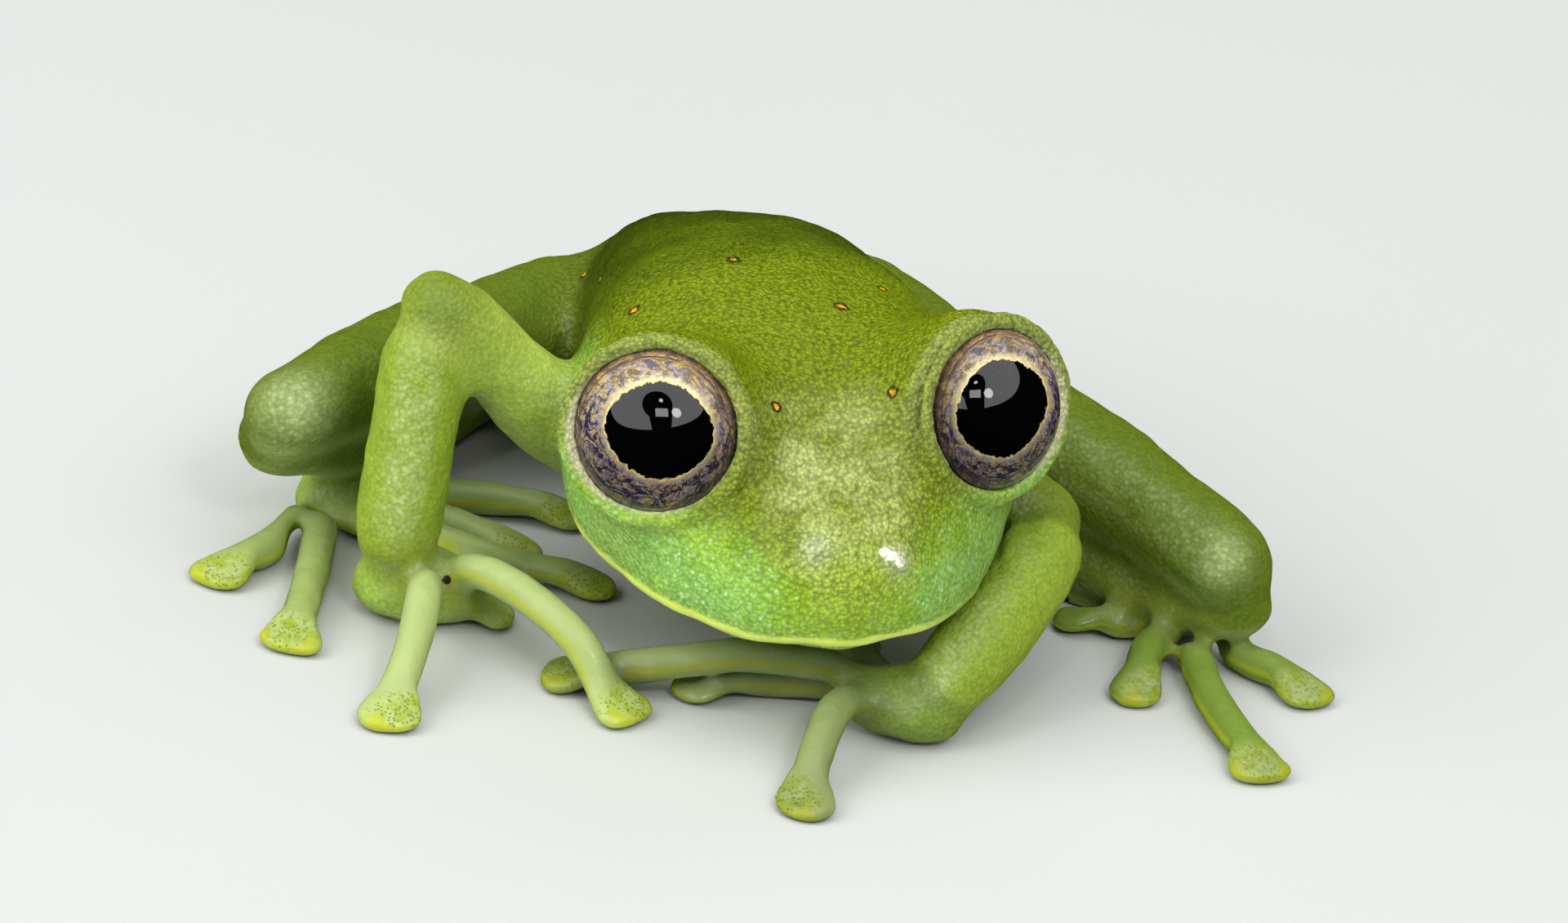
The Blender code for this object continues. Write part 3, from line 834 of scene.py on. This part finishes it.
def limb_colour(p, colour, patchy, coarse):
    """Glassy green, with whitish grains on the limbs' upper side and on the knees."""
    limb = p.mix(LIMB, LEG_SHADED, p.mask("leg"))
    limb = p.mix(limb, PALM, p.mask("palm"))
    # Painted light on the right upper arm
    limb = p.mix(limb, PAINTED_LIGHT_ARM, p.product(p.mask("light_arm"), 0.8))
    # Whitish grains with a painted highlight on the limbs' side that faces the lamps
    pale = p.product(p.mask("ridge"), p.step(patchy, 0.25, 0.55), p.step(p.mask("leg"), 0, 1, 0.9, 0.3))
    limb = p.mix(limb, LIMB_GRAIN_HIGHLIGHT, p.product(pale, p.step(coarse, 0.6, 0.2, 0.3, 1.0)))
    limb = p.mix(limb, KNEE_HIGHLIGHT, p.product(p.mask("knee"), p.step(coarse, 0.6, 0.2, 0.6, 1.0)))
    return p.mix(colour, limb, p.mask("limb"))


def digit_colour(p, colour):
    """Pale digits with yellower sides, toes darker as painted shade, and pads with dark specks on top.
    """
    edge = p.product(p.step(p.mask("side"), 0.62, 0.95), p.step(p.mask("under"), 0.0, 0.3, 0.6, 1.0))
    digit = p.mix(p.mix(DIGIT, TOE_SHADED, p.mask("toe")), DIGIT_EDGE, edge)
    pad = p.mix(PAD, PAD_GREEN, p.step(p.noise(0.3, 2), 0.4, 0.6))
    rim = p.maths("MAXIMUM", p.mask("pad_rim"), p.step(p.mask("side"), 0.5, 0.9))
    pad = p.mix(pad, DIGIT_EDGE, p.product(rim, 0.85))
    # Painted shade: the toe pads are darker
    pad = p.scaled(pad, p.step(p.mask("toe"), 0.0, 1.0, 1.0, 0.68))
    specks = p.product(p.step(p.cells(0.09), 0.44, 0.26), p.step(p.mask("pad_rim"), 0.7, 0.2))
    pad = p.mix(pad, PAD_SPECK, p.product(specks, 0.85))
    digit = p.mix(digit, pad, p.mask("pad"))
    return p.mix(colour, digit, p.mask("digit"))


def marked_colour(p, colour):
    """Eye rims, the ragged gold spots with dark edges, the moles, and a painted glint by a nostril."""
    colour = p.mix(colour, RIM, p.mask("rim"))
    rough = p.product(p.maths("SUBTRACT", p.noise(0.12, 2), 0.5), 0.5)
    ragged = p.maths("ADD", p.mask("spot"), rough)
    colour = p.mix(colour, SPOT_DARK, p.step(ragged, 0.42, 0.55))
    colour = p.mix(colour, SPOT_GOLD, p.step(ragged, 0.66, 0.78))
    colour = p.mix(colour, MOLE, p.step(p.mask("mole"), 0.4, 0.6))
    # A painted glint: a small white patch by the nostril
    torn = p.maths("ADD", p.mask("glint"), rough)
    return p.mix(colour, GLINT_WHITE, p.step(torn, 0.42, 0.55))


def skin_paint():
    p = Paint("frog_skin")
    slow = p.noise(2.4, 2)
    patchy = p.noise(0.7, 3)
    grain = p.cells(0.1)
    coarse = p.cells(0.15)
    colour = p.mix(BACK, BACK_LIGHT, p.step(slow, 0.35, 0.7))
    # Painted shade: darker towards the rear, down to half
    colour = p.scaled(colour, p.step(p.mask("rear"), 0.0, 1.0, 1.0, 0.5))
    colour = head_colour(p, colour, slow, patchy)
    colour = limb_colour(p, colour, patchy, coarse)
    colour = digit_colour(p, colour)
    colour = p.mix(colour, BELLY, p.product(p.mask("under"), 0.5))
    colour = marked_colour(p, colour)
    smooth = p.maths("ADD", p.mask("digit"), p.product(p.mask("limb"), 0.6))
    smooth = p.maths("ADD", smooth, p.product(p.mask("cheek"), 0.35))
    granular = p.maths("SUBTRACT", 1.0, p.maths("ADD", smooth, p.product(p.mask("lip"), 0.6)))
    uneven = p.maths("ADD", 1.0, p.product(granular, p.step(p.noise(0.13, 1), 0.3, 0.7, -0.2, 0.2)))
    shade = p.maths("ADD", 1.0, p.product(granular, p.step(grain, 0.15, 0.75, 0.16, -0.3)))
    # Painted shade: the colour is darkened to 0.62 where that mask is full
    dull = p.step(p.mask("dull"), 0.0, 1.0, 1.0, 0.62)
    colour = p.scaled(colour, p.product(shade, uneven, dull))
    gloss = p.step(p.mask("digit"), 0.0, 1.0, 0.2, 0.5)
    glassy = p.step(p.maths("ADD", p.mask("digit"), p.mask("limb")), 0.0, 1.0, 0.35, 0.75)
    relief = p.maths("SUBTRACT", p.product(patchy, 1.5), p.product(grain, granular))
    normal = p.bump(relief, 0.06)
    surface = p.node(
        "BsdfPrincipled", Base_Color=colour, Normal=normal, Coat_Normal=normal,
        Roughness=0.42, Specular_IOR_Level=0.2, Coat_Weight=gloss, Coat_Roughness=0.12,
        Coat_IOR=1.35, Subsurface_Weight=glassy, Subsurface_Radius=(0.8, 1.0, 0.25),
        Subsurface_Scale=0.8 * MM,
    )
    return p.output(surface.outputs["BSDF"])


IRIS_GOLD = (0.50, 0.37, 0.15)
IRIS_LILAC = (0.38, 0.33, 0.34)
IRIS_PURPLE = (0.10, 0.07, 0.18)
IRIS_BROWN = (0.36, 0.23, 0.04)
IRIS_DARK = (0.02, 0.012, 0.04)
IRIS_OUTLINE = (0.07, 0.035, 0.03)
IRIS_CREAM = (0.70, 0.60, 0.36)
IRIS_RING = (0.85, 0.68, 0.22)
PUPIL = (0.001, 0.001, 0.001)


def ridges(p, size, width, place):
    """Thin wavy lines where a noise passes its middle value."""
    away = p.maths("ABSOLUTE", p.maths("SUBTRACT", p.noise(size, 3, 0.6, place, 1.2), 0.5))
    return p.step(away, width, width * 0.3)


def iris_paint(side):
    """Gold and lilac under dark wavy veins that run round the pupil, its bright edge, and painted light
    and shade: lighter at the top, darker below and towards the nose.
    """
    p = Paint("iris_" + side)
    nose = {"left": -1, "right": 1}[side]
    place = p.node("Attribute", {"attribute_name": "place"}).outputs["Vector"]
    split = p.node("SeparateXYZ", Vector=place)
    flat = p.node("CombineXYZ", X=split.outputs["X"], Y=split.outputs["Y"]).outputs["Vector"]
    reach = p.node("VectorMath", {"operation": "LENGTH"})
    p.feed(reach.inputs[0], flat)
    reach = reach.outputs["Value"]
    way = p.node("VectorMath", {"operation": "NORMALIZE"})
    p.feed(way.inputs[0], flat)
    around = p.node("VectorMath", {"operation": "SCALE"}, Scale=IRIS_STRETCH)
    p.feed(around.inputs[0], way.outputs["Vector"])
    outward = p.node("CombineXYZ", Z=reach)
    polar = p.node("VectorMath", {"operation": "ADD"})
    p.feed(polar.inputs[0], around.outputs["Vector"])
    p.feed(polar.inputs[1], outward.outputs["Vector"])
    polar = polar.outputs["Vector"]

    x = p.maths("SUBTRACT", split.outputs["X"], nose * PUPIL_OFFSET[0])
    y = p.maths("SUBTRACT", split.outputs["Y"], PUPIL_OFFSET[1])
    across = p.maths("POWER", p.maths("ABSOLUTE", p.product(x, 1 / PUPIL_HALF[0])), 1.8)
    upward = p.maths("POWER", p.maths("ABSOLUTE", p.product(y, 1 / PUPIL_HALF[1])), 1.8)
    oval = p.maths("POWER", p.maths("ADD", across, upward), 1 / 1.8)
    wobble = p.product(p.maths("SUBTRACT", p.noise(0.12, 2, 0.5, flat), 0.5), 0.16)
    oval = p.maths("ADD", oval, wobble)

    blotch = p.noise(0.14, 3, 0.6, polar)
    colour = p.mix(IRIS_GOLD, IRIS_LILAC, p.step(blotch, 0.42, 0.58))
    cream = p.product(p.step(oval, 1.28, 1.05), p.step(y, 0.1, 0.9, 0.15, 0.9))
    colour = p.mix(colour, IRIS_CREAM, cream)
    low = p.step(y, 0.9, -0.7, 0.35, 1.0)
    edge = p.step(reach, APERTURE - 0.3, APERTURE - 0.15)
    colour = p.mix(colour, IRIS_BROWN, p.product(edge, 0.7))
    clear = p.step(oval, 1.06, 1.2, 0.2, 1.0)
    broad = p.step(p.noise(0.22, 3, 0.6, polar, 1.0), 0.5, 0.62)
    colour = p.mix(colour, IRIS_PURPLE, p.product(broad, low, clear, 0.7))
    fine = p.product(ridges(p, 0.13, 0.07, polar), 0.7)
    veins = ridges(p, 0.3, 0.075, polar)
    dark = p.product(p.maths("MAXIMUM", veins, fine), clear)
    colour = p.mix(colour, IRIS_DARK, p.product(dark, p.step(y, 1.2, -0.4, 0.7, 1.0)))
    line = p.step(p.maths("ABSOLUTE", p.maths("SUBTRACT", reach, APERTURE - 0.13)), 0.03, 0.01)
    colour = p.mix(colour, IRIS_OUTLINE, p.product(line, p.step(blotch, 0.3, 0.6)))
    outline = p.step(reach, APERTURE - 0.05, APERTURE - 0.02)
    colour = p.mix(colour, IRIS_OUTLINE, p.product(outline, 0.5))
    ring = p.product(p.step(oval, 1.055, 1.02), p.step(p.noise(0.15, 1, 0.5, flat), 0.3, 0.55))
    colour = p.mix(colour, IRIS_RING, ring)
    # Painted light and shade: the iris is lighter at its top and darker towards its bottom and towards
    # the nose
    towards_nose = p.product(split.outputs["X"], nose)
    aside = p.step(towards_nose, 0.5, 1.5, 1.0, 0.52)
    colour = p.scaled(colour, p.product(aside, p.step(split.outputs["Y"], -1.4, 1.2, 0.36, 1.3)))
    pupil = p.step(oval, 1.01, 0.985)
    colour = p.mix(colour, PUPIL, pupil)
    normal = p.node("Mix", {"data_type": "VECTOR"})
    p.feed(normal.inputs[0], pupil)
    p.feed(normal.inputs[4], p.bump(blotch, 0.02))
    p.feed(normal.inputs[5], p.node("Attribute", {"attribute_name": "mirror"}).outputs["Vector"])
    surface = p.node(
        "BsdfPrincipled", Base_Color=colour, Roughness=p.step(pupil, 0, 1, 0.6, 0.0),
        Normal=normal.outputs[1], IOR=1.6,
        Specular_Tint=p.mix((0.15, 0.15, 0.15), (1, 1, 1), pupil),
    )
    return p.output(surface.outputs["BSDF"])


def cornea_paint():
    """Clear and wet. Light from the lamps passes straight through to the iris."""
    p = Paint("cornea")
    glass = p.node(
        "BsdfPrincipled", Base_Color=(1, 1, 1), Roughness=0.0, IOR=1.4, Transmission_Weight=1.0,
        Specular_Tint=(0, 0, 0),
    )
    clear = p.node("BsdfTransparent", Color=(1, 1, 1))
    path = p.node("LightPath")
    passes = p.maths("MAXIMUM", path.outputs["Is Shadow Ray"], path.outputs["Is Diffuse Ray"])
    mixed = p.node("MixShader", Fac=passes)
    p.feed(mixed.inputs[1], glass.outputs["BSDF"])
    p.feed(mixed.inputs[2], clear.outputs["BSDF"])
    return p.output(mixed.outputs["Shader"])


# Stage
def floor_paint():
    p = Paint("floor")
    tone = p.mix((0.54, 0.55, 0.53), (0.57, 0.58, 0.56), p.noise(40.0, 2))
    surface = p.node("BsdfPrincipled", Base_Color=tone, Roughness=0.7)
    return p.output(surface.outputs["BSDF"])


def make_stage():
    half = 3.0
    floor = new_piece(
        "floor",
        [(-half, -half, 0), (half, -half, 0), (half, half, 0), (-half, half, 0)],
        [(0, 1, 2, 3)],
    )
    floor.data.materials.append(floor_paint())
    floor.visible_glossy = False
    floor.visible_transmission = False
    world = bpy.data.worlds.new("studio")
    world.use_nodes = True
    sky = world.node_tree.nodes["Background"]
    sky.inputs["Color"].default_value = (0.9, 0.95, 1.0, 1)
    sky.inputs["Strength"].default_value = 0.22
    world.cycles_visibility.glossy = False
    world.cycles_visibility.transmission = False
    bpy.context.scene.world = world
    bpy.context.scene.view_settings.view_transform = "Standard"


def from_camera(reach, across=0.0, above=0.0):
    """A place that far from the frog towards the camera, then aside and up as the camera sees."""
    return LOOKED_AT - VIEW_DOWN * reach + VIEW_RIGHT * across + VIEW_UP * above


def facing(place, across):
    """The matrix of something flat at a place in millimetres that faces the frog."""
    back = (place - LOOKED_AT).normalized()
    above = back.cross(across).normalized()
    turn = Matrix((above.cross(back), above, back)).transposed()
    return Matrix.Translation(place * MM) @ turn.to_4x4()


def lamp(name, place, size, power, across=VIEW_RIGHT, shape="ELLIPSE", mirrored=True):
    """A soft lamp at a place in millimetres, facing the frog."""
    light = bpy.data.lights.new(name, "AREA")
    light.shape = shape
    light.size, light.size_y = size[0] * MM, size[1] * MM
    light.energy = power
    obj = bpy.data.objects.new(name, light)
    obj.matrix_world = facing(place, across)
    obj.visible_glossy = mirrored
    obj.visible_transmission = mirrored
    bpy.context.scene.collection.objects.link(obj)


def dark_card():
    """A dark round card on a stem behind the camera, which the eyes mirror as a camera."""
    radius, stem_left, stem_right, foot = 70, -24, 60, -200
    outline = []
    for i in range(33):
        turn = math.radians(-14 + 248 * i / 32)
        outline.append((radius * math.cos(turn) * MM, radius * math.sin(turn) * MM, 0))
    outline += [(stem_left * MM, foot * MM, 0), (stem_right * MM, foot * MM, 0)]
    card = new_piece("dark_card", outline, [tuple(range(len(outline)))])
    card.matrix_world = facing(from_camera(205, -17, 98), VIEW_RIGHT)
    p = Paint("dark_card")
    black = p.node("BsdfDiffuse", Color=(0.002, 0.002, 0.002))
    card.data.materials.append(p.output(black.outputs["BSDF"]))


def make_lights():
    turned = VIEW_RIGHT * math.cos(SOFTBOX_TURN) + VIEW_UP * math.sin(SOFTBOX_TURN)
    lamp("softbox", from_camera(204, -18, 180), (900, 527), 2.2, turned)
    lamp("window", from_camera(196, 0, 54), (50, 34), 0.022, VIEW_RIGHT, "RECTANGLE")
    lamp("bulb", from_camera(196, 0, 113), (18, 18), 0.025)
    lamp("glow", from_camera(196, 62, 57), (42, 42), 0.08)
    soft = {"across": LEVEL_RIGHT, "shape": "RECTANGLE", "mirrored": False}
    lamp("fill_left", Vector((260, 60, 140)), (200, 200), 0.08, **soft)
    lamp("fill_right", Vector((-230, -120, 160)), (200, 200), 0.35, **soft)
    lamp("back", Vector((60, 240, 200)), (300, 150), 0.2, **soft)
    dark_card()


def make_camera():
    data = bpy.data.cameras.new("camera")
    data.lens = CAMERA_LENS
    data.sensor_width = SENSOR
    data.clip_start = 0.01
    data.clip_end = 20
    obj = bpy.data.objects.new("camera", data)
    turn = Matrix((VIEW_RIGHT, VIEW_UP, -VIEW_DOWN)).transposed()
    obj.matrix_world = Matrix.Translation(CAMERA_PLACE) @ turn.to_4x4()
    bpy.context.scene.collection.objects.link(obj)
    bpy.context.scene.camera = obj


def limit_bounces():
    """Few bounces are enough for soft light on a small frog, and bright stray ones are cut."""
    cycles = bpy.context.scene.cycles
    cycles.max_bounces = 6
    cycles.diffuse_bounces = 2
    cycles.glossy_bounces = 2
    cycles.transmission_bounces = 4
    cycles.sample_clamp_indirect = 2.0


make_stage()
make_lights()
limit_bounces()
make_camera()
skin = make_skin()
skin.data.materials.append(skin_paint())
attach(skin, "root")
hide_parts(*FLESH)
cornea = cornea_paint()
for side in EYES:
    make_eye(side, cornea)
